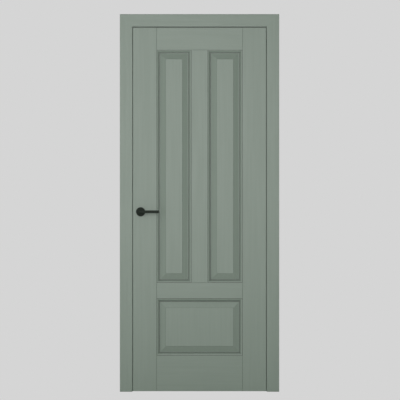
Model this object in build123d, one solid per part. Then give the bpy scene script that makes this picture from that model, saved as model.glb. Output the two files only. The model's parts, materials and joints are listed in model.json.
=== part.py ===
"""Panelled interior door in its frame, in millimetres.

x runs along the wall, with the hinges on the right (+x). y runs through the
wall, away from the side the photo shows. z is up and the floor is z = 0.
The leaf's mid-thickness is y = 0. It opens away from the viewer (+y).
"""
import os

from build123d import *

os.makedirs("parts", exist_ok=True)

# Leaf
LEAF_W = 744.0            # front face, between the two side gaps
LEAF_H = 2030.0           # rails and lower opening are fixed, the upper opening takes the rest
LEAF_T = 44.0
FLOOR_GAP = 3.0
LIP_W = 12.0              # how far the rear lip laps behind the frame's rib
LIP_T = 20.0
ARRIS = 1.0               # broken corner on the long outer edges
STILE_W = 132.0           # as seen from the front, without the lip
MULLION_W = 90.0
BOTTOM_RAIL_H = 200.0
LOWER_OPENING_H = 318.0
LOCK_RAIL_H = 88.0
TOP_RAIL_H = 124.0

# Frame
SIDE_GAP = 3.0
TOP_GAP = 6.0
CASING_W = 70.0
CASING_T = 12.0
CASING_ROUND = 2.0
SEAL_GAP = 3.0            # room between the jamb's rib and the lip, filled by the seal
JAMB_BOARD_T = 18.0       # jamb behind the rib
FRAME_DEPTH = 97.0        # from the front casing's face to the back casing's

# Joints in the leaf
TENON_T = 14.0
TENON_L = 60.0
MULLION_TENON_L = 30.0
TENON_SHOULDER = 20.0
JOINT_V = 0.9             # depth and half width of the V line at each joint

# Panels and the beads that hold them
PANEL_PLAY = 1.5          # room for the panel to move, all round
BEAD_W = 13.5
BEAD_D = 18.0             # from the leaf's face down to the panel's edge
BEAD_CREST = 0.8          # top of the curved face below the leaf's face
BEAD_LOW = 12.0           # depth at which the curved face ends
QUIRK_W = 2.2             # fine groove between the opening's edge and the curved face
QUIRK_D = 6.0
FLAT_W = 18.0             # from the opening to the small step on the panel
STEP_H = 3.5
STEP_ROUND = 1.6
STEP_W = 4.5
BEVEL_W = 29.0
FIELD_DROP = 2.0          # raised field below the leaf's face
SHOULDER_H = 2.4

# Hinges
HINGE_FROM_BOTTOM = 226.0  # leaf's lower edge to the middle of the lowest hinge
HINGE_FROM_TOP = 204.0
HINGE_H = 100.0
PLATE_T = 2.4
PLATE_SPLIT = 0.2         # between the two plates of a closed hinge
PLATE_EDGE = 2.0          # from the lip's front corner to the plate
KNUCKLE_R = 6.0
KNUCKLE_COUNT = 5
KNUCKLE_GAP = 0.3
KNUCKLE_CLEAR = 0.6
PIN_R = 3.0
PIN_FIT = 0.05
PIN_HEAD_R = 5.0
PIN_HEAD_H = 2.5
PIN_END_ROOM = 1.0        # jamb's recess beyond each button of the pin
HINGE_SCREW_Z = (-37.0, 0.0, 37.0)
HINGE_SCREW_STAGGER = 2.5

# Handle set and lock
BACKSET = 55.0
SPINDLE_Z = 1005.0
SPINDLE = 8.0
ROSE_R = 25.0
ROSE_T = 9.0
ROSE_WALL = 1.5
ROSE_EDGE = 3.0
COVER_FIT = 0.05
BASE_T = 6.5
BASE_FLOOR = 1.5          # left under the groove for the return spring
SHANK_R = 8.95
SHANK_FIT = 0.05
COVER_HOLE_R = 9.4
COLLAR_R = 14.5
COLLAR_T = 3.5
COLLAR_GAP = 0.3
NECK_R = 8.5
LEVER_REACH = 102.0       # spindle to the bar's end
LEVER_OUT = 56.0          # leaf's face to the bar's outer face
BAR_H = 15.0
BAR_T = 12.0
BAR_ROUND = 3.5
SPINDLE_GRIP = 30.0       # length of spindle inside each lever
STUD_PITCH = 38.0
STUD_R = 2.0
STUD_HEAD_R = 3.6
STUD_HEAD_H = 2.4
GRUB_R = 2.5
GRUB_SINK = 1.0           # screw's end below the neck's surface
GRUB_SOCKET_R = 1.25
GRUB_SOCKET_D = 1.1
LEVER_SPRING_R = 12.0
LEVER_WIRE_R = 0.9
LEVER_SPRING_TURNS = 2
SPRING_ROOM = 0.3         # round a spring, and at both its ends
WIRE_SIDES = 8            # flats that stand for the round wire of a spring

CASE_T = 14.0
CASE_L = 75.0
CASE_WALL = 1.5
CASE_UP = 50.0            # from the spindle to the case's top
CASE_DOWN = 75.0
FACEPLATE_W = 18.0
FACEPLATE_H = 180.0
FACEPLATE_T = 3.0
FACEPLATE_SCREW_Z = 80.0
LATCH_UP = 18.0           # latch centre above the spindle
LATCH_H = 16.0
LATCH_OUT = 11.5
LATCH_PLAY = 0.2
LATCH_HEAD_L = 14.0       # part of the latch head behind the faceplate's face
LATCH_NOSE = 1.0          # straight part of the head in front of the faceplate
STEM_H = 6.0
STEM_T = 4.0
HUB_R = 9.0
HUB_FIT = 0.05
HUB_ROOM = 2.0            # stile's hole round the hub
FINGER_L = 18.0
FINGER_W = 5.0
FINGER_T = 4.0
HOOK_GAP = 0.5
HOOK_W = 6.0
HOOK_LOW = 12.7           # hook's lower end above the spindle
LATCH_SPRING_R = 4.8
LATCH_WIRE_R = 0.5
LATCH_SPRING_TURNS = 6
STOP_LUG_T = 2.0
STOP_LUG_X = 38.0         # lug that the latch spring pushes against, from the edge

STRIKE_T = 2.0
STRIKE_W = 20.0
STRIKE_H = 110.0
STRIKE_POCKET = 11.0
STRIKE_CLEAR = 1.5
STRIKE_SCREW_Z = 44.0

# Screws and wall fixings
SCREW_R = 2.0
SCREW_HEAD_R = 3.8
SCREW_HEAD_H = 2.0
SCREW_L = 26.0
SCREW_L_FRAME = 16.0
SLOT_W = 0.9
SLOT_D = 1.1
WALL_HOLE_R = 3.5
WALL_HOLE_END = 120.0     # from the jamb's ends to the first and last hole
WALL_HOLE_COUNT = 4
SEAL_U = 3.5              # from the rib's inner edge to the seal's groove
SEAL_ROOT_W = 3.0
SEAL_ROOT_D = 4.0
SEAL_BULB_W = 6.0
SEAL_CONTACT = 0.3
MARGIN = 1.0              # how far a cut runs past the face that it opens

# Places that follow from the sizes above
FACE = LEAF_T / 2
HALF = LEAF_W / 2
LIP_HALF = HALF + LIP_W
LIP_Y = FACE - LIP_T
OPEN_HALF = HALF + SIDE_GAP
REBATE_HALF = OPEN_HALF + LIP_W
LEAF_TOP = FLOOR_GAP + LEAF_H
LIP_TOP = LEAF_TOP + LIP_W
OPEN_TOP = LEAF_TOP + TOP_GAP
JAMB_FRONT = -FACE + CASING_T
STOP_Y = LIP_Y - SEAL_GAP
FRAME_BACK = -FACE + FRAME_DEPTH
JAMB_BACK = FRAME_BACK - CASING_T
STILE_X = HALF - STILE_W
LOWER_Z0 = FLOOR_GAP + BOTTOM_RAIL_H
LOWER_Z1 = LOWER_Z0 + LOWER_OPENING_H
UPPER_Z0 = LOWER_Z1 + LOCK_RAIL_H
UPPER_Z1 = LEAF_TOP - TOP_RAIL_H
LOCK_Y = LIP_Y + LIP_T / 2
SPINDLE_X = -LIP_HALF + BACKSET
LATCH_Z = SPINDLE_Z + LATCH_UP
HINGE_X = (LIP_HALF + REBATE_HALF) / 2
HINGE_Y = FACE + KNUCKLE_R + KNUCKLE_CLEAR
PLATE_Y = LIP_Y + PLATE_EDGE
HINGE_LOW_Z = FLOOR_GAP + HINGE_FROM_BOTTOM
HINGE_HIGH_Z = LEAF_TOP - HINGE_FROM_TOP
HINGE_Z = (HINGE_LOW_Z, (HINGE_LOW_Z + HINGE_HIGH_Z) / 2, HINGE_HIGH_Z)
WALL_HOLE_Y = (FACE + JAMB_BACK) / 2
WALL_HOLE_PITCH = (OPEN_TOP - 2 * WALL_HOLE_END) / (WALL_HOLE_COUNT - 1)
REACH = CASING_W + MARGIN  # longer than any section, for the mitre cuts
UPRIGHT = Plane(origin=(0, 0, 0), x_dir=(0, 0, 1), z_dir=(-1, 0, 0))  # a section's x runs up

OPENINGS = {
    "upper_left": (-STILE_X, -MULLION_W / 2, UPPER_Z0, UPPER_Z1),
    "upper_right": (MULLION_W / 2, STILE_X, UPPER_Z0, UPPER_Z1),
    "lower": (-STILE_X, STILE_X, LOWER_Z0, LOWER_Z1),
}


def save(name, *pieces):
    """Write one node, from one solid or from a group of separate ones."""
    shape = pieces[0] if len(pieces) == 1 else Compound(children=list(pieces))
    shape.label = name
    export_step(shape, f"parts/{name}.step")


def block(x0, x1, y0, y1, z0, z1):
    """Box between two corners."""
    middle = Pos((x0 + x1) / 2, (y0 + y1) / 2, (z0 + z1) / 2)
    return middle * Box(abs(x1 - x0), abs(y1 - y0), abs(z1 - z0))


def oblong(u0, u1, v0, v1):
    """Flat rectangle between two corners, for a section."""
    return Pos((u0 + u1) / 2, (v0 + v1) / 2) * Rectangle(abs(u1 - u0), abs(v1 - v0))


def prism(points, direction, length):
    """Extrude the closed outline through these points in space."""
    return extrude(make_face(Polyline(*points, close=True)), amount=length, dir=direction)


def rod_x(x0, x1, y, z, radius):
    """Round bar along x."""
    return Pos((x0 + x1) / 2, y, z) * Rot(0, 90, 0) * Cylinder(radius, abs(x1 - x0))


def rod_y(x, z, radius, y0, y1):
    """Round bar along y."""
    return Pos(x, (y0 + y1) / 2, z) * Rot(90, 0, 0) * Cylinder(radius, abs(y1 - y0))


def rod_z(x, y, radius, z0, z1):
    """Round bar along z."""
    return Pos(x, y, (z0 + z1) / 2) * Cylinder(radius, z1 - z0)


# Frame: every run is one section, drawn as (distance out from the opening, y), with mitred corners.

def run_right(section):
    """Upright run on the hinge side, cut to a mitre at the head."""
    run = extrude(Pos(OPEN_HALF, 0, 0) * section, amount=OPEN_TOP + REACH)
    mitre = [
        (OPEN_HALF, -FRAME_DEPTH, OPEN_TOP),
        (OPEN_HALF + 2 * REACH, -FRAME_DEPTH, OPEN_TOP + 2 * REACH),
        (OPEN_HALF - REACH, -FRAME_DEPTH, OPEN_TOP + 2 * REACH),
        (OPEN_HALF - REACH, -FRAME_DEPTH, OPEN_TOP - REACH),
    ]
    return run - prism(mitre, (0, 1, 0), 3 * FRAME_DEPTH)


def run_head(section):
    """Level run over the leaf, mitred at both ends."""
    half = OPEN_HALF + REACH
    run = extrude(Pos(0, 0, OPEN_TOP) * (UPRIGHT * section), amount=half, both=True)
    keep = [
        (-OPEN_HALF, -FRAME_DEPTH, OPEN_TOP),
        (OPEN_HALF, -FRAME_DEPTH, OPEN_TOP),
        (half, -FRAME_DEPTH, OPEN_TOP + REACH),
        (-half, -FRAME_DEPTH, OPEN_TOP + REACH),
    ]
    return run & prism(keep, (0, 1, 0), 3 * FRAME_DEPTH)


def runs(section):
    """Left, right and head run of one section."""
    right = run_right(section)
    return mirror(right, about=Plane.YZ), right, run_head(section)


def casing_section(inner, y_face, y_back):
    """Flat casing from its inner edge out, with both corners of its face rounded."""
    section = oblong(inner, CASING_W, y_face, y_back)
    corners = section.vertices().sort_by(Axis.Y)
    return fillet(corners[:2] if y_face < y_back else corners[2:], CASING_ROUND)


def jamb_section():
    """Jamb with its rib in front of the leaf's lip and the groove for the seal."""
    out = LIP_W + JAMB_BOARD_T
    rib = oblong(0, out, JAMB_FRONT, STOP_Y)
    board = oblong(LIP_W, out, JAMB_FRONT, JAMB_BACK)
    return rib + board - seal_root()


def seal_root():
    """Root of the rubber seal, and the jamb's groove for it."""
    return oblong(SEAL_U, SEAL_U + SEAL_ROOT_W, STOP_Y - SEAL_ROOT_D, STOP_Y)


def seal_section():
    """Rubber seal: a root in the jamb's groove and a rounded bulb toward the lip."""
    middle = SEAL_U + SEAL_ROOT_W / 2
    bulb = Pos(middle, STOP_Y) * Ellipse(SEAL_BULB_W / 2, SEAL_GAP - SEAL_CONTACT)
    bulb &= oblong(middle - SEAL_BULB_W, middle + SEAL_BULB_W, STOP_Y, LIP_Y)
    return seal_root() + bulb


# Screws: a countersunk head with a cross, its flat face at the given place.

def screw_x(x, y, z, into, length, slotted=True):
    """Countersunk screw along x that goes in toward +x (into = 1) or -x (into = -1)."""
    head = Pos(x + into * SCREW_HEAD_H / 2, y, z) * Rot(0, 90 * into, 0)
    body = head * Cone(SCREW_HEAD_R, SCREW_R, SCREW_HEAD_H)
    body += rod_x(x + into * SCREW_HEAD_H, x + into * length, y, z, SCREW_R)
    if not slotted:
        return body
    arm = SCREW_HEAD_R + SLOT_W / 2
    for width, height in ((arm, SLOT_W), (SLOT_W, arm)):
        body -= Pos(x + into * SLOT_D / 2, y, z) * Box(SLOT_D, width, height)
    return body


def hinge_screw_places(side):
    """Screw centres of all hinge plates on one side (1 in the frame, -1 in the leaf)."""
    middle = (PLATE_Y + FACE) / 2
    places = []
    for z in HINGE_Z:
        for index, dz in enumerate(HINGE_SCREW_Z):
            places.append((middle + (-1) ** index * HINGE_SCREW_STAGGER, z + dz))
    face = HINGE_X + side * PLATE_SPLIT / 2
    return [(face, y, z, side) for y, z in places]


def hinge_screws(side, slotted=True):
    """Screws that hold the plates on one side of the hinges."""
    length = SCREW_L_FRAME if side > 0 else SCREW_L
    return [screw_x(x, y, z, into, length, slotted) for x, y, z, into in hinge_screw_places(side)]


def strike_screws(slotted=True):
    """Two screws through the strike plate into the jamb."""
    return [screw_x(-REBATE_HALF, LOCK_Y, LATCH_Z + s * STRIKE_SCREW_Z, -1, SCREW_L_FRAME, slotted)
            for s in (-1, 1)]


def faceplate_screws(slotted=True):
    """Two screws through the lock's faceplate into the stile's edge."""
    return [screw_x(-LIP_HALF, LOCK_Y, SPINDLE_Z + s * FACEPLATE_SCREW_Z, 1, SCREW_L, slotted)
            for s in (-1, 1)]


# Hinges

def knuckles(z_mid, mine):
    """Barrel parts of one plate: even ones on the frame's plate, odd ones on the leaf's."""
    pitch = HINGE_H / KNUCKLE_COUNT
    low = z_mid - HINGE_H / 2
    parts = []
    for index in range(KNUCKLE_COUNT):
        if index % 2 == mine:
            z0 = low + index * pitch + (KNUCKLE_GAP / 2 if index else 0)
            z1 = low + (index + 1) * pitch - (KNUCKLE_GAP / 2 if index < KNUCKLE_COUNT - 1 else 0)
            parts.append((z0, z1))
    return parts


def hinge_plate(z_mid, side):
    """One plate of a butt hinge with its share of the barrel."""
    mine, other = (0, 1) if side > 0 else (1, 0)
    near = HINGE_X + side * PLATE_SPLIT / 2
    plate = block(near, near + side * PLATE_T, PLATE_Y, HINGE_Y, z_mid - HINGE_H / 2, z_mid + HINGE_H / 2)
    for z0, z1 in knuckles(z_mid, other):
        room = KNUCKLE_R + KNUCKLE_GAP
        plate -= rod_z(HINGE_X, HINGE_Y, room, z0 - KNUCKLE_GAP, z1 + KNUCKLE_GAP)
    barrel = [rod_z(HINGE_X, HINGE_Y, KNUCKLE_R, z0, z1) for z0, z1 in knuckles(z_mid, mine)]
    plate = plate.fuse(*barrel)
    plate -= rod_z(HINGE_X, HINGE_Y, PIN_R + PIN_FIT, z_mid - HINGE_H, z_mid + HINGE_H)
    for screw, place in zip(hinge_screws(side, False), hinge_screw_places(side)):
        if abs(place[2] - z_mid) < HINGE_H:
            plate -= screw
    return plate


def hinge_pin(z_mid):
    """Pin with a flat button at each end."""
    half = HINGE_H / 2
    pin = rod_z(HINGE_X, HINGE_Y, PIN_R, z_mid - half, z_mid + half)
    top = rod_z(HINGE_X, HINGE_Y, PIN_HEAD_R, z_mid + half, z_mid + half + PIN_HEAD_H)
    low = rod_z(HINGE_X, HINGE_Y, PIN_HEAD_R, z_mid - half - PIN_HEAD_H, z_mid - half)
    return pin + top + low


# Leaf

def tenon(x0, x1, z0, z1):
    """Tenon or mortise block in the middle of the leaf's thickness."""
    return block(x0, x1, -TENON_T / 2, TENON_T / 2, z0, z1)


def rail_tenons(side):
    """The three rail tenons that enter one stile."""
    rails = ((FLOOR_GAP, LOWER_Z0), (LOWER_Z1, UPPER_Z0), (UPPER_Z1, LEAF_TOP))
    x0, x1 = sorted((side * STILE_X, side * (STILE_X + TENON_L)))
    return [tenon(x0, x1, z0 + TENON_SHOULDER, z1 - TENON_SHOULDER) for z0, z1 in rails]


def mullion_tenon(end):
    """Tenon of the mullion into the top rail (1) or the lock rail (-1)."""
    half = MULLION_W / 2 - TENON_SHOULDER
    z0, z1 = (UPPER_Z1, UPPER_Z1 + MULLION_TENON_L) if end > 0 else (UPPER_Z0 - MULLION_TENON_L, UPPER_Z0)
    return tenon(-half, half, z0, z1)


def joint_lines():
    """V lines at every joint between rails, stiles and mullion, on both faces."""
    lines = []
    half = MULLION_W / 2
    for face in (-1, 1):
        y = face * FACE
        dip = face * (FACE - JOINT_V)
        for x in (-STILE_X, STILE_X):
            for z0, z1 in ((FLOOR_GAP, LOWER_Z0), (LOWER_Z1, UPPER_Z0), (UPPER_Z1, LIP_TOP)):
                across = [(x - JOINT_V, y, z0), (x + JOINT_V, y, z0), (x, dip, z0)]
                lines.append(prism(across, (0, 0, 1), z1 - z0))
        for z in (UPPER_Z0, UPPER_Z1):
            across = [(-half, y, z - JOINT_V), (-half, y, z + JOINT_V), (-half, dip, z)]
            lines.append(prism(across, (1, 0, 0), 2 * half))
    return lines


def stile_section():
    """Hinge-side stile, with the lip at its rear edge."""
    return [
        (STILE_X, -FACE),
        (HALF - ARRIS, -FACE),
        (HALF, -FACE + ARRIS),
        (HALF, LIP_Y),
        (LIP_HALF, LIP_Y),
        (LIP_HALF, FACE - ARRIS),
        (LIP_HALF - ARRIS, FACE),
        (STILE_X, FACE),
    ]


def plain_stile():
    """Stile on the hinge side before the cuts for hinges and joints."""
    points = [(x, y, FLOOR_GAP) for x, y in stile_section()]
    stile = prism(points, (0, 0, 1), LIP_TOP - FLOOR_GAP)
    return stile - block(STILE_X - MARGIN, LIP_HALF, -FACE - MARGIN, LIP_Y, LEAF_TOP, LIP_TOP + MARGIN)


def case_block(grow=0.0):
    """Outside of the lock case."""
    x0 = -LIP_HALF + FACEPLATE_T
    return block(x0, x0 + CASE_L + grow, LOCK_Y - CASE_T / 2 - grow, LOCK_Y + CASE_T / 2 + grow,
                 SPINDLE_Z - CASE_DOWN - grow, SPINDLE_Z + CASE_UP + grow)


def faceplate():
    """Faceplate with round ends, before its holes."""
    straight = FACEPLATE_H / 2 - FACEPLATE_W / 2
    plate = block(-LIP_HALF, -LIP_HALF + FACEPLATE_T, LOCK_Y - FACEPLATE_W / 2, LOCK_Y + FACEPLATE_W / 2,
                  SPINDLE_Z - straight, SPINDLE_Z + straight)
    for s in (-1, 1):
        end = Pos(-LIP_HALF + FACEPLATE_T / 2, LOCK_Y, SPINDLE_Z + s * straight) * Rot(0, 90, 0)
        plate += end * Cylinder(FACEPLATE_W / 2, FACEPLATE_T)
    return plate


def handle_holes():
    """Cuts through the lock stile for the spindle's shanks and the two studs."""
    end = FACE + MARGIN
    cuts = [rod_y(SPINDLE_X, SPINDLE_Z, HUB_R + HUB_ROOM, -end, end)]
    for s in (-1, 1):
        cuts.append(rod_y(SPINDLE_X + s * STUD_PITCH / 2, SPINDLE_Z, STUD_R, -end, end))
    return cuts


def hinge_recesses(side):
    """Room for plates and barrels in the leaf (-1) or the jamb (1)."""
    face = HINGE_X + side * (PLATE_SPLIT / 2 + PLATE_T)
    ends = PIN_HEAD_H + PIN_END_ROOM
    cuts = []
    for z in HINGE_Z:
        z0, z1 = z - HINGE_H / 2, z + HINGE_H / 2
        cuts.append(block(HINGE_X, face, PLATE_Y, HINGE_Y, z0, z1))
        if side > 0:
            cuts.append(rod_z(HINGE_X, HINGE_Y, KNUCKLE_R + KNUCKLE_CLEAR, z0 - ends, z1 + ends))
    return cuts


def stile_hinge_side():
    stile = plain_stile()
    return stile.cut(*rail_tenons(1), *joint_lines(), *hinge_recesses(-1), *hinge_screws(-1, False))


def stile_lock_side():
    stile = mirror(plain_stile(), about=Plane.YZ)
    return stile.cut(*rail_tenons(-1), *joint_lines(), case_block(), faceplate(), *handle_holes(),
                     *faceplate_screws(False))


def rail(z0, z1, top_lip=False):
    """Rail between the stiles, with a tenon at each end."""
    body = block(-STILE_X, STILE_X, -FACE, FACE, z0, z1)
    if top_lip:
        body += block(-STILE_X, STILE_X, LIP_Y, FACE, z1, LIP_TOP)
    reach = STILE_X + TENON_L
    body += tenon(-reach, reach, z0 + TENON_SHOULDER, z1 - TENON_SHOULDER)
    return body.cut(*joint_lines(), mullion_tenon(1), mullion_tenon(-1))


def mullion():
    half = MULLION_W / 2
    body = block(-half, half, -FACE, FACE, UPPER_Z0, UPPER_Z1)
    return body.fuse(mullion_tenon(1), mullion_tenon(-1)).cut(*joint_lines())


def panel_section(width):
    """Section of a raised panel: thin edge, rounded step, bevel, shoulder and raised field, both faces."""
    half = width / 2
    edge = FACE - BEAD_D
    step = edge + STEP_H
    step_x = half - FLAT_W
    field_x = step_x - STEP_W - BEVEL_W
    field = FACE - FIELD_DROP
    outline = [
        (0, 0),
        (half - PANEL_PLAY, 0),
        (half - PANEL_PLAY, edge),
        (step_x, edge),
        (step_x, step),
        (step_x - STEP_W, step),
        (field_x, field - SHOULDER_H),
        (field_x, field),
        (0, field),
    ]
    quarter = make_face(Polyline(*outline, close=True))
    quarter = fillet(quarter.vertices().sort_by_distance((step_x, step, 0))[0], STEP_ROUND)
    front = quarter + mirror(quarter, about=Plane.YZ)
    return front + mirror(front, about=Plane.XZ)


def raised_panel(box):
    """Panel that shows its section across and up, so every moulding meets in a mitre at the corners."""
    x0, x1, z0, z1 = box
    middle = Pos((x0 + x1) / 2, 0, (z0 + z1) / 2)
    across = extrude(panel_section(x1 - x0), amount=(z1 - z0) / 2, both=True)
    up = extrude(UPRIGHT * panel_section(z1 - z0), amount=(x1 - x0) / 2, both=True)
    return middle * (across & up)


def bead_section():
    """Bead section, (distance in from the opening, depth below the face): a quirk and a quarter round."""
    outline = [
        (BEAD_W, BEAD_LOW),
        (BEAD_W, BEAD_D),
        (0, BEAD_D),
        (0, QUIRK_D),
        (QUIRK_W, QUIRK_D),
        (QUIRK_W, BEAD_CREST),
    ]
    centre = (QUIRK_W, BEAD_LOW)
    curve = EllipticalCenterArc(centre, BEAD_W - QUIRK_W, BEAD_LOW - BEAD_CREST, 270, arc_size=90)
    return make_face(Polyline(*outline).edges() + curve.edges())


def bead_strip(box, face, side):
    """One mitred strip of a panel's bead; side is low, high, left or right."""
    x0, x1, z0, z1 = box
    d = BEAD_W
    sign = 1 if side in ("low", "left") else -1
    if side in ("low", "high"):
        edge = z0 if sign > 0 else z1
        start, inward, length = ((x0 + x1) / 2, face * FACE, edge), Vector(0, 0, sign), x1 - x0
        ends = [(x0, edge), (x1, edge), (x1 - d, edge + sign * d), (x0 + d, edge + sign * d)]
    else:
        edge = x0 if sign > 0 else x1
        start, inward, length = (edge, face * FACE, (z0 + z1) / 2), Vector(sign, 0, 0), z1 - z0
        ends = [(edge, z0), (edge, z1), (edge + sign * d, z1 - d), (edge + sign * d, z0 + d)]
    plane = Plane(origin=start, x_dir=inward, z_dir=inward.cross(Vector(0, -face, 0)))
    strip = extrude(plane * bead_section(), amount=length / 2, both=True)
    return strip & prism([(x, -LEAF_T, z) for x, z in ends], (0, 1, 0), 2 * LEAF_T)


# Lock and handle set

def lock_case():
    """Hollow case with holes for the hub, the latch and the studs, and a lug for the latch spring."""
    x0 = -LIP_HALF + FACEPLATE_T
    w = CASE_WALL
    inside = block(x0 + w, x0 + CASE_L - w, LOCK_Y - CASE_T / 2 + w, LOCK_Y + CASE_T / 2 - w,
                   SPINDLE_Z - CASE_DOWN + w, SPINDLE_Z + CASE_UP - w)
    case = case_block() - inside
    case -= rod_y(SPINDLE_X, SPINDLE_Z, HUB_R + HUB_FIT, LOCK_Y - CASE_T, LOCK_Y + CASE_T)
    case -= latch_opening(x0 - MARGIN, x0 + w + MARGIN)
    stem = LATCH_Z + LATCH_H / 2 - STEM_H / 2
    lug_x = -LIP_HALF + STOP_LUG_X
    lug_half = CASE_T / 2 - w / 2
    lug = block(lug_x, lug_x + STOP_LUG_T, LOCK_Y - lug_half, LOCK_Y + lug_half,
                stem - LATCH_H / 2, stem + LATCH_H / 2)
    half_t, half_h = STEM_T / 2 + LATCH_PLAY, STEM_H / 2 + LATCH_PLAY
    lug -= block(lug_x - MARGIN, lug_x + STOP_LUG_T + MARGIN, LOCK_Y - half_t, LOCK_Y + half_t,
                 stem - half_h, stem + half_h)
    case += lug
    for s in (-1, 1):
        stud_x = SPINDLE_X + s * STUD_PITCH / 2
        case -= rod_y(stud_x, SPINDLE_Z, STUD_R + HUB_FIT, LOCK_Y - CASE_T, LOCK_Y + CASE_T)
    return case


def latch_width():
    return CASE_T - 2 * CASE_WALL - 2 * LATCH_PLAY


def latch_opening(x0, x1):
    """Hole that the latch head slides through."""
    half = latch_width() / 2 + LATCH_PLAY
    return block(x0, x1, LOCK_Y - half, LOCK_Y + half, LATCH_Z - LATCH_H / 2 - LATCH_PLAY,
                 LATCH_Z + LATCH_H / 2 + LATCH_PLAY)


def latch_bolt():
    """Bevelled latch head, stem and the hook that the hub's finger pulls."""
    half = latch_width() / 2
    tip = -LIP_HALF - LATCH_OUT
    rear = -LIP_HALF + LATCH_HEAD_L
    low, top = LATCH_Z - LATCH_H / 2, LATCH_Z + LATCH_H / 2
    outline = [
        (tip, LOCK_Y + half),
        (tip, LOCK_Y + half / 2),
        (-LIP_HALF - LATCH_NOSE, LOCK_Y - half),
        (rear, LOCK_Y - half),
        (rear, LOCK_Y + half),
    ]
    head = prism([(x, y, low) for x, y in outline], (0, 0, 1), LATCH_H)
    hook_x = SPINDLE_X + FINGER_W / 2 + HOOK_GAP
    y0, y1 = LOCK_Y - STEM_T / 2, LOCK_Y + STEM_T / 2
    stem = block(rear, hook_x + HOOK_W, y0, y1, top - STEM_H, top)
    hook = block(hook_x, hook_x + HOOK_W, y0, y1, SPINDLE_Z + HOOK_LOW, top)
    return head + stem + hook


def coil(radius, wire, turns, length):
    """Spring that rises along z from the origin, swept along its true helix."""
    path = Helix(pitch=length / turns, height=length, radius=radius)
    start = Plane(origin=path @ 0, z_dir=path % 0)
    return sweep(start * RegularPolygon(wire, WIRE_SIDES), path=path, is_frenet=True)


def latch_spring():
    """Spring round the stem, between the latch head and the case's lug."""
    room = LATCH_WIRE_R + SPRING_ROOM
    length = STOP_LUG_X - LATCH_HEAD_L - 2 * room
    stem = LATCH_Z + LATCH_H / 2 - STEM_H / 2
    spring = coil(LATCH_SPRING_R, LATCH_WIRE_R, LATCH_SPRING_TURNS, length)
    return Pos(-LIP_HALF + LATCH_HEAD_L + room, LOCK_Y, stem) * Rot(0, 90, 0) * spring


def hub():
    """Lock hub with a square hole and the finger that draws the latch."""
    body = rod_y(SPINDLE_X, SPINDLE_Z, HUB_R, LOCK_Y - CASE_T / 2, LOCK_Y + CASE_T / 2)
    half_w, half_t = FINGER_W / 2, FINGER_T / 2
    body += block(SPINDLE_X - half_w, SPINDLE_X + half_w, LOCK_Y - half_t, LOCK_Y + half_t,
                  SPINDLE_Z, SPINDLE_Z + FINGER_L)
    return body - spindle()


def spindle():
    """Square bar through hub and levers."""
    end = FACE + ROSE_T + SPINDLE_GRIP
    half = SPINDLE / 2
    return block(SPINDLE_X - half, SPINDLE_X + half, -end, end, SPINDLE_Z - half, SPINDLE_Z + half)


def lever(face):
    """Lever cast in one piece: shank, collar, neck and straight bar."""
    base = face * FACE
    collar_in = face * (FACE + ROSE_T + COLLAR_GAP)
    collar_out = collar_in + face * COLLAR_T
    outer = face * (FACE + LEVER_OUT)
    inner = outer - face * BAR_T
    shank = rod_y(SPINDLE_X, SPINDLE_Z, SHANK_R, base, collar_in)
    collar = rod_y(SPINDLE_X, SPINDLE_Z, COLLAR_R, collar_in, collar_out)
    rim = collar.edges().filter_by(GeomType.CIRCLE).sort_by(Axis.Y)
    collar = chamfer(rim[-1] if face > 0 else rim[0], COLLAR_T / 4)
    neck = rod_y(SPINDLE_X, SPINDLE_Z, NECK_R, collar_in, (inner + outer) / 2)
    bar = block(SPINDLE_X - NECK_R, SPINDLE_X + LEVER_REACH, inner, outer,
                SPINDLE_Z - BAR_H / 2, SPINDLE_Z + BAR_H / 2)
    bar = fillet(bar.edges().filter_by(Axis.Z).sort_by(Axis.X)[:2], BAR_ROUND)
    bar = fillet(bar.edges().filter_by(Axis.X), BAR_ROUND)
    body = shank.fuse(collar, neck, bar)
    return body.cut(spindle(), grub_screw(face, False))


def grub_screw(face, socket=True):
    """Grub screw in the neck's underside that clamps the spindle, or its hole in the neck."""
    y = face * (FACE + ROSE_T + COLLAR_GAP + COLLAR_T + GRUB_R + MARGIN)
    top = SPINDLE_Z - SPINDLE / 2
    low = SPINDLE_Z - NECK_R + GRUB_SINK
    if not socket:
        return rod_z(SPINDLE_X, y, GRUB_R, low - GRUB_SINK - MARGIN, top)
    screw = rod_z(SPINDLE_X, y, GRUB_R, low, top)
    return screw - rod_z(SPINDLE_X, y, GRUB_SOCKET_R, low - MARGIN, low + GRUB_SOCKET_D)


def rose_base(face):
    """Screwed base of a rose: a disc with the shank's bearing and a ring groove for the spring."""
    base = face * FACE
    top = base + face * (BASE_T + MARGIN)
    floor = base + face * BASE_FLOOR
    body = rod_y(SPINDLE_X, SPINDLE_Z, ROSE_R - ROSE_WALL - COVER_FIT, base, base + face * BASE_T)
    bearing = rod_y(SPINDLE_X, SPINDLE_Z, SHANK_R + SHANK_FIT, base - face * MARGIN, top)
    room = LEVER_WIRE_R + SPRING_ROOM
    groove = rod_y(SPINDLE_X, SPINDLE_Z, LEVER_SPRING_R + room, floor, top)
    groove -= rod_y(SPINDLE_X, SPINDLE_Z, LEVER_SPRING_R - room, floor, top)
    return body.cut(bearing, groove, *studs(False))


def lever_spring(face):
    """Return spring in a rose's ring groove."""
    room = LEVER_WIRE_R + SPRING_ROOM
    spring = coil(LEVER_SPRING_R, LEVER_WIRE_R, LEVER_SPRING_TURNS, BASE_T - BASE_FLOOR - 2 * room)
    start = face * (FACE + BASE_FLOOR + room)
    return Pos(SPINDLE_X, start, SPINDLE_Z) * Rot(-90 * face, 0, 0) * spring


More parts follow.
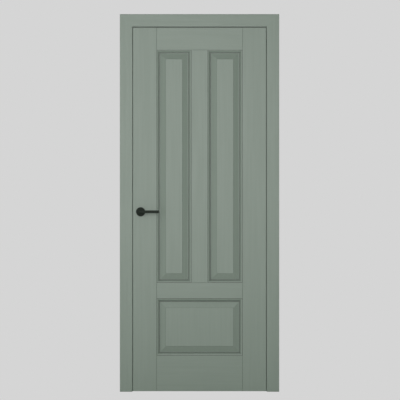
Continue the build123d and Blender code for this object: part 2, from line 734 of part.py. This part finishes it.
def rose_cover(face):
    """Round cap over the base, with a softened rim."""
    base = face * FACE
    out = base + face * ROSE_T
    cap = rod_y(SPINDLE_X, SPINDLE_Z, ROSE_R, base, out)
    rims = cap.edges().filter_by(GeomType.CIRCLE).sort_by(Axis.Y)
    cap = fillet(rims[-1] if face > 0 else rims[0], ROSE_EDGE)
    inside = base - face * MARGIN
    cap -= rod_y(SPINDLE_X, SPINDLE_Z, ROSE_R - ROSE_WALL, inside, out - face * ROSE_WALL)
    return cap - rod_y(SPINDLE_X, SPINDLE_Z, COVER_HOLE_R, base, out + face * MARGIN)


def studs(slotted=True):
    """Two studs that clamp both roses to the leaf, with their heads in the back one."""
    parts = []
    head_out = FACE + BASE_T
    for s in (-1, 1):
        x = SPINDLE_X + s * STUD_PITCH / 2
        stud = rod_y(x, SPINDLE_Z, STUD_R, -FACE - BASE_T, head_out)
        stud += rod_y(x, SPINDLE_Z, STUD_HEAD_R, head_out - STUD_HEAD_H, head_out)
        if slotted:
            stud -= Pos(x, head_out, SPINDLE_Z) * Box(2 * STUD_HEAD_R - SLOT_D, 2 * SLOT_D, SLOT_W)
        parts.append(stud)
    return parts


# Frame hardware

def strike_block(depth):
    """Strike plate's outline, cut or built to the given depth."""
    return block(-REBATE_HALF - depth, -REBATE_HALF, LOCK_Y - STRIKE_W / 2, LOCK_Y + STRIKE_W / 2,
                 LATCH_Z - STRIKE_H / 2, LATCH_Z + STRIKE_H / 2)


def strike_hole(depth):
    """Hole in the strike plate and the pocket behind it."""
    half = latch_width() / 2 + STRIKE_CLEAR
    rise = LATCH_H / 2 + STRIKE_CLEAR
    return block(-REBATE_HALF - depth, -REBATE_HALF + MARGIN, LOCK_Y - half, LOCK_Y + half,
                 LATCH_Z - rise, LATCH_Z + rise)


def wall_holes(side):
    """Row of holes through a jamb for the wall screws."""
    x0 = side * (REBATE_HALF - MARGIN)
    x1 = side * (REBATE_HALF + JAMB_BOARD_T + MARGIN)
    places = [WALL_HOLE_END + index * WALL_HOLE_PITCH for index in range(WALL_HOLE_COUNT)]
    return [rod_x(x0, x1, WALL_HOLE_Y, z, WALL_HOLE_R) for z in places]


def build_frame():
    left, right, head = runs(jamb_section())
    left = left.cut(strike_block(STRIKE_T), strike_hole(STRIKE_POCKET), *strike_screws(False))
    left = left.cut(*wall_holes(-1))
    right = right.cut(*hinge_recesses(1), *hinge_screws(1, False), *wall_holes(1))
    save("jamb_left", left)
    save("jamb_right", right)
    save("jamb_head", head)
    front = casing_section(0, -FACE, JAMB_FRONT)
    back = casing_section(LIP_W, FRAME_BACK, JAMB_BACK)
    for name, section in (("front", front), ("back", back)):
        for side, piece in zip(("left", "right", "head"), runs(section)):
            save(f"casing_{name}_{side}", piece)
    for side, piece in zip(("left", "right", "head"), runs(seal_section())):
        save(f"seal_{side}", piece)
    save("strike_plate", strike_block(STRIKE_T).cut(strike_hole(STRIKE_POCKET), *strike_screws(False)))
    save("strike_screws", *strike_screws())


def build_hinges():
    for index, z in enumerate(HINGE_Z, start=1):
        save(f"hinge_{index}_frame_plate", hinge_plate(z, 1))
        save(f"hinge_{index}_leaf_plate", hinge_plate(z, -1))
        save(f"hinge_{index}_pin", hinge_pin(z))
    save("hinge_frame_screws", *hinge_screws(1))
    save("hinge_leaf_screws", *hinge_screws(-1))


def build_leaf():
    save("stile_hinge", stile_hinge_side())
    save("stile_lock", stile_lock_side())
    save("rail_bottom", rail(FLOOR_GAP, LOWER_Z0))
    save("rail_lock", rail(LOWER_Z1, UPPER_Z0))
    save("rail_top", rail(UPPER_Z1, LEAF_TOP, top_lip=True))
    save("mullion", mullion())
    for name, box in OPENINGS.items():
        save(f"panel_{name}", raised_panel(box))
        for face, label in ((-1, "front"), (1, "back")):
            strips = [bead_strip(box, face, side) for side in ("low", "high", "left", "right")]
            save(f"bead_{label}_{name}", *strips)


def build_lock():
    save("lock_case", lock_case())
    plate = faceplate() - latch_opening(-LIP_HALF - MARGIN, -LIP_HALF + FACEPLATE_T + MARGIN)
    save("lock_faceplate", plate.cut(*faceplate_screws(False)))
    save("faceplate_screws", *faceplate_screws())
    save("latch_bolt", latch_bolt())
    save("latch_spring", latch_spring())
    save("lock_hub", hub())


def build_handle():
    save("spindle", spindle())
    save("grub_screws", grub_screw(-1), grub_screw(1))
    save("rose_studs", *studs())
    for face, label in ((-1, "front"), (1, "back")):
        save(f"lever_{label}", lever(face))
        save(f"rose_base_{label}", rose_base(face))
        save(f"rose_cover_{label}", rose_cover(face))
        save(f"lever_spring_{label}", lever_spring(face))


build_frame()
build_hinges()
build_leaf()
build_lock()
build_handle()
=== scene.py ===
import json
from math import radians

import bmesh
import bpy
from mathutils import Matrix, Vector


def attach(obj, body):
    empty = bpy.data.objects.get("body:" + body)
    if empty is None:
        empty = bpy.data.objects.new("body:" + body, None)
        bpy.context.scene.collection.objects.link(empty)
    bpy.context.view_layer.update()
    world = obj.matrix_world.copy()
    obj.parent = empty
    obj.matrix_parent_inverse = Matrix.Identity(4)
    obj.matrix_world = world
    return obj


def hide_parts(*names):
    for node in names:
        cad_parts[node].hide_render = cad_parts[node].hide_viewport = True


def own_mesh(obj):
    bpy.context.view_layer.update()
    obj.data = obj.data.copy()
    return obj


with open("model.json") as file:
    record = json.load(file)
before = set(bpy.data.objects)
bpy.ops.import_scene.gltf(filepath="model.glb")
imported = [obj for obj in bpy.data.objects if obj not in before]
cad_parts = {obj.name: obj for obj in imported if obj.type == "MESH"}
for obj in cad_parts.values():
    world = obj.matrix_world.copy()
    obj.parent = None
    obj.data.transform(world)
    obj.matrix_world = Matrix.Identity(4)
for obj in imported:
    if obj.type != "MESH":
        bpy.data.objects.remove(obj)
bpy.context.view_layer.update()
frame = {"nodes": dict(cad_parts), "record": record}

MM = 0.001

# The photograph: 400 pixels a side, straight on, with the door's foot and middle at these pixels.
PIXELS = 400.0
PIXEL_SIZE = 5.585 * MM
FOOT_ROW = 391.75
MIDDLE_COLUMN = 199.55
CAMERA_DISTANCE = 5.0

# Patterns
EVEN = (1.0, 1.0, 1.0)
UPRIGHT = (1.0, 1.0, 0.03)    # drawn out along z
LEVEL = (0.03, 1.0, 1.0)      # and along x
SPECK_RANGE = (0.3, 0.7)      # most of a noise lies between these
RELIEF = 0.5                  # share of a pattern's height that shades the surface
PEEL_SIZE = 14.0              # mm: marks of the spray gun in the lacquer
PEEL_HEIGHT = 0.2             # mm
PEEL_DETAIL = 2.0

# Sockets of the Mix node when it mixes colours
SHARE, FIRST, SECOND, MIXED = 0, 6, 7, 2

# Painted shade in the lacquer's quirks and joint lines: a dark colour mixed in where solids are near
PAINTED_SHADE = "#0E110F"
PAINTED_SHADE_REACH = 2.6             # mm: it spans a quirk, but not the gap round the leaf
PAINTED_SHADE_OPEN = (0.40, 0.95)     # openness of a place that is all shade, and of one that has none
PAINTED_SHADE_SAMPLES = 8

MERGE = 0.001 * MM            # corners nearer than this are one

# Studio
BACKDROP = "#D5D5D5"
FILL = 0.32
FLOOR_HALF = 16.0
# Distance from the door in metres, and the backdrop's share there in what shows of the floor
FLOOR_NEAR = (0.5, 0.0)
FLOOR_FAR = (3.2, 1.0)
# A wide lamp in front, a little left of the door's middle and above it. Its soft mirror image in the
# lacquer brightens what faces the viewer squarely, so the bevels stay darker on every side.
KEY = {"place": (-0.24, -3.15, 1.57), "aim": (-0.24, 0.0), "size": 2.3, "power": 37.0}
# Far out on the left: the bevels that face that way are a little lighter than those that face right.
LEFT = {"place": (-6.0, -3.5, 1.5), "aim": (0.0, 0.0), "size": 3.0, "power": 50.0}
# Two like them behind the door, for its other face and for the open leaf.
BACK = {"place": (0.24, 3.15, 1.57), "aim": (0.24, 0.0), "size": 2.3, "power": 32.0}
RIGHT = {"place": (6.0, 3.5, 1.5), "aim": (0.0, 0.0), "size": 3.0, "power": 90.0}


def linear(hex_colour):
    """sRGB hex to the linear colour that a shader takes."""
    values = [int(hex_colour[i:i + 2], 16) / 255 for i in (1, 3, 5)]
    return tuple(v / 12.92 if v <= 0.04045 else ((v + 0.055) / 1.055) ** 2.4 for v in values) + (1.0,)


def add(tree, kind, inputs=None, **settings):
    """Add a node with its settings; each input is a value to set or a socket to link."""
    node = tree.nodes.new(kind)
    for key, value in settings.items():
        setattr(node, key, value)
    for key, value in (inputs or {}).items():
        if isinstance(value, bpy.types.NodeSocket):
            tree.links.new(value, node.inputs[key])
        else:
            node.inputs[key].default_value = value
    return node


def stretched(tree, size, stretch=EVEN):
    """Object coordinates in features of this size in mm, longer along an axis with a small stretch."""
    place = add(tree, "ShaderNodeTexCoord").outputs["Object"]
    scale = [part / (size * MM) for part in stretch]
    return add(tree, "ShaderNodeMapping", {"Vector": place, "Scale": scale}).outputs["Vector"]


def surfaced(name, inputs, build):
    """Material of one finish: build makes its nodes and returns the shader inputs that they drive."""
    material = bpy.data.materials.new(name)
    material.use_nodes = True
    tree = material.node_tree
    tree.nodes.clear()
    shader = add(tree, "ShaderNodeBsdfPrincipled", {**inputs, **build(tree)})
    add(tree, "ShaderNodeOutputMaterial", {"Surface": shader.outputs["BSDF"]})
    return material


def varied(tree, pale, deep, rough, size, height, stretch=EVEN, detail=3.0):
    """One noise, its size and height in mm, that tints between two colours, shifts the gloss and roughens."""
    place = stretched(tree, size, stretch)
    noise = add(tree, "ShaderNodeTexNoise", {"Vector": place, "Scale": 1.0, "Detail": detail})
    speck = noise.outputs["Fac"]
    share = add(tree, "ShaderNodeMapRange", {
        "Value": speck, "From Min": SPECK_RANGE[0], "From Max": SPECK_RANGE[1]}).outputs["Result"]
    tint = add(tree, "ShaderNodeMix", {SHARE: share, FIRST: linear(pale), SECOND: linear(deep)},
               data_type="RGBA")
    gloss = add(tree, "ShaderNodeMapRange", {"Value": share, "To Min": rough[0], "To Max": rough[1]})
    relief = add(tree, "ShaderNodeBump", {"Height": speck, "Distance": height * MM, "Strength": RELIEF})
    return {
        "Base Color": tint.outputs[MIXED],
        "Roughness": gloss.outputs["Result"],
        "Normal": relief.outputs["Normal"],
    }


def sage_lacquer(name, grain):
    """Satin water-based lacquer, sprayed over timber: even sage green, the grain just telling through it."""

    def build(tree):
        # Real pores and spray marks are about 1 mm across. Both are drawn coarse, or the render has none.
        driven = varied(tree, pale="#849286", deep="#818F83", rough=(0.36, 0.40), size=9.0, height=0.12,
                        stretch=grain)
        peel = add(tree, "ShaderNodeTexNoise", {
            "Vector": stretched(tree, PEEL_SIZE), "Scale": 1.0, "Detail": PEEL_DETAIL})
        relief = add(tree, "ShaderNodeBump", {
            "Height": peel.outputs["Fac"], "Distance": PEEL_HEIGHT * MM, "Strength": RELIEF,
            "Normal": driven["Normal"]})
        # Quirks and joint lines are under half a pixel wide. Their shade is painted into the colour and drawn
        # deep, or they don't show.
        openness = add(tree, "ShaderNodeAmbientOcclusion", {"Distance": PAINTED_SHADE_REACH * MM},
                       samples=PAINTED_SHADE_SAMPLES)
        clear = add(tree, "ShaderNodeMapRange", {
            "Value": openness.outputs["AO"], "From Min": PAINTED_SHADE_OPEN[0], "From Max": PAINTED_SHADE_OPEN[1]})
        shaded = add(tree, "ShaderNodeMix", {
            SHARE: clear.outputs["Result"], FIRST: linear(PAINTED_SHADE), SECOND: driven["Base Color"]},
            data_type="RGBA")
        return {**driven, "Base Color": shaded.outputs[MIXED], "Normal": relief.outputs["Normal"]}

    return surfaced(name, {"IOR": 1.5}, build)


def black_powder_coat():
    """Polyester powder coat, baked matt: near black, cast green. Its even tooth spreads the highlight."""
    # The real tooth is under 1 mm. It is drawn coarse, so that it shows on the rose.
    return surfaced("black_powder_coat", {"IOR": 1.36}, lambda tree: varied(
        tree, pale="#1A251B", deep="#121B13", rough=(0.62, 0.70), size=6.0, height=0.15))


def brushed_stainless():
    """Stainless strip, brushed upright: grey metal with lines along z."""
    # The real lines are about 0.2 mm wide. They are drawn coarse, so that they show on plates and knuckles.
    return surfaced("brushed_stainless", {"Metallic": 1.0}, lambda tree: varied(
        tree, pale="#C6C7C4", deep="#A1A2A0", rough=(0.26, 0.44), size=4.0, height=0.03, stretch=UPRIGHT))


def bright_zinc_plate():
    """Bright zinc on pressed and cast steel: pale grey metal, cloudy, with a slight warm cast."""
    return surfaced("bright_zinc_plate", {"Metallic": 1.0}, lambda tree: varied(
        tree, pale="#C6C5BE", deep="#A9A89F", rough=(0.30, 0.46), size=5.0, height=0.02, detail=4.0))


def drawn_spring_wire():
    """Drawn spring wire, oiled: dark bluish steel, mottled by draw marks."""
    # The real marks are under 0.1 mm wide. They are drawn coarse, about as wide as the wire is thick.
    return surfaced("drawn_spring_wire", {"Metallic": 1.0}, lambda tree: varied(
        tree, pale="#808287", deep="#5C5E62", rough=(0.30, 0.38), size=1.2, height=0.01))


def extruded_rubber(name, grain):
    """Extruded rubber seal: matt dark grey-green, with faint lines from the die along its length."""
    # The real lines are about 0.5 mm apart. They are drawn coarse, or the render has none.
    return surfaced(name, {"IOR": 1.5}, lambda tree: varied(
        tree, pale="#3A3F3B", deep="#292D2A", rough=(0.62, 0.78), size=3.0, height=0.1, stretch=grain))


def finish_nodes():
    """Give every CAD node the material of its real finish, in the variant for upright or level pieces."""
    coat = black_powder_coat()
    steel = brushed_stainless()
    zinc = bright_zinc_plate()
    wire = drawn_spring_wire()
    finishes = {
        "sage_paint": (
            sage_lacquer("sage_lacquer_upright", UPRIGHT), sage_lacquer("sage_lacquer_level", LEVEL)),
        "grey_rubber": (
            extruded_rubber("rubber_upright", UPRIGHT), extruded_rubber("rubber_level", LEVEL)),
        "black_coat": (coat, coat),
        "plain_steel": (steel, steel),
        "zinc_steel": (zinc, zinc),
        "spring_steel": (wire, wire),
    }
    slots = {part["node"]: part["material_slot"] for part in frame["record"]["subparts"]}
    for name, node in frame["nodes"].items():
        level_piece = name.endswith("_head") or name.startswith("rail_")
        material = finishes[slots[name]][1 if level_piece else 0]
        for index in range(len(node.data.materials)):
            node.data.materials[index] = material
        if not node.data.materials:
            node.data.materials.append(material)


def latch_spring_in_use():
    """The latch spring again, as a merged copy carried by the leaf in place of the CAD node."""
    node = frame["nodes"]["latch_spring"]
    piece = bpy.data.objects.new("latch_spring_in_use", node.data.copy())
    bpy.context.collection.objects.link(piece)
    merged = bmesh.new()
    merged.from_mesh(piece.data)
    bmesh.ops.remove_doubles(merged, verts=merged.verts, dist=MERGE)
    merged.to_mesh(piece.data)
    merged.free()
    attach(piece, "leaf")
    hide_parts(node.name)
    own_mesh(piece)


def seen_share(tree):
    """1 where a ray comes from the camera, from a mirroring surface or through glass, and 0 elsewhere."""
    path = add(tree, "ShaderNodeLightPath").outputs
    seen = add(tree, "ShaderNodeMath", {0: path["Is Camera Ray"], 1: path["Is Transmission Ray"]},
               operation="MAXIMUM")
    seen = add(tree, "ShaderNodeMath", {0: seen.outputs[0], 1: path["Is Glossy Ray"]},
               operation="MAXIMUM")
    return seen.outputs[0]


def pale_studio_floor():
    """Plain matt floor, shaded round the door's foot and turning into the backdrop's colour far out."""
    material = surfaced("pale_studio_floor", {"IOR": 1.5}, lambda tree: varied(
        tree, pale="#F0F0EF", deep="#ECECEB", rough=(0.75, 0.85), size=400.0, height=0.0))
    tree = material.node_tree
    output = next(node for node in tree.nodes if node.type == "OUTPUT_MATERIAL")
    shaded = output.inputs["Surface"].links[0].from_socket
    place = add(tree, "ShaderNodeTexCoord").outputs["Object"]
    distance = add(tree, "ShaderNodeVectorMath", {0: place}, operation="LENGTH")
    share = add(tree, "ShaderNodeMapRange", {
        "Value": distance.outputs["Value"], "From Min": FLOOR_NEAR[0], "To Min": FLOOR_NEAR[1],
        "From Max": FLOOR_FAR[0], "To Max": FLOOR_FAR[1]}, interpolation_type="SMOOTHSTEP")
    bare = add(tree, "ShaderNodeMath", {0: share.outputs["Result"], 1: seen_share(tree)},
               operation="MULTIPLY")
    plain = add(tree, "ShaderNodeEmission", {"Color": linear(BACKDROP)})
    mix = add(tree, "ShaderNodeMixShader", {0: bare.outputs[0], 1: shaded, 2: plain.outputs[0]})
    tree.links.new(mix.outputs[0], output.inputs["Surface"])
    return material


def make_floor():
    """Level floor at the door's foot."""
    near, far = -FLOOR_HALF, FLOOR_HALF
    corners = [(near, near, 0), (far, near, 0), (far, far, 0), (near, far, 0)]
    mesh = bpy.data.meshes.new("floor")
    mesh.from_pydata(corners, [], [(0, 1, 2, 3)])
    mesh.materials.append(pale_studio_floor())
    floor = bpy.data.objects.new("floor", mesh)
    bpy.context.collection.objects.link(floor)


def make_world():
    """Even grey studio: the backdrop's colour where it is seen or mirrored, a soft fill elsewhere."""
    world = bpy.data.worlds.new("studio")
    bpy.context.scene.world = world
    world.use_nodes = True
    tree = world.node_tree
    tree.nodes.clear()
    backdrop = add(tree, "ShaderNodeBackground", {"Color": linear(BACKDROP), "Strength": 1.0})
    fill = add(tree, "ShaderNodeBackground", {"Color": linear("#FFFFFF"), "Strength": FILL})
    mix = add(tree, "ShaderNodeMixShader", {
        0: seen_share(tree), 1: fill.outputs[0], 2: backdrop.outputs[0]})
    add(tree, "ShaderNodeOutputWorld", {"Surface": mix.outputs[0]})


def add_lamp(name, place, aim, size, power):
    """Round soft lamp, turned level to face a spot on the floor plan."""
    data = bpy.data.lights.new(name, "AREA")
    data.shape = "DISK"
    data.size = size
    data.energy = power
    lamp = bpy.data.objects.new(name, data)
    lamp.location = place
    facing = Vector((aim[0] - place[0], aim[1] - place[1], 0.0))
    lamp.rotation_euler = facing.to_track_quat("-Z", "Y").to_euler()
    lamp.visible_camera = False
    bpy.context.collection.objects.link(lamp)


def make_camera():
    """Level camera square to the door, without perspective."""
    data = bpy.data.cameras.new("camera")
    data.type = "ORTHO"
    data.ortho_scale = PIXELS * PIXEL_SIZE
    camera = bpy.data.objects.new("camera", data)
    across = (PIXELS / 2 - MIDDLE_COLUMN) * PIXEL_SIZE
    up = (FOOT_ROW - PIXELS / 2) * PIXEL_SIZE
    camera.location = (across, -CAMERA_DISTANCE, up)
    camera.rotation_euler = (radians(90), 0, 0)
    bpy.context.collection.objects.link(camera)
    bpy.context.scene.camera = camera


finish_nodes()
latch_spring_in_use()
make_floor()
make_world()
add_lamp("key", **KEY)
add_lamp("left", **LEFT)
add_lamp("back", **BACK)
add_lamp("right", **RIGHT)
make_camera()
bpy.context.scene.view_settings.view_transform = "Standard"
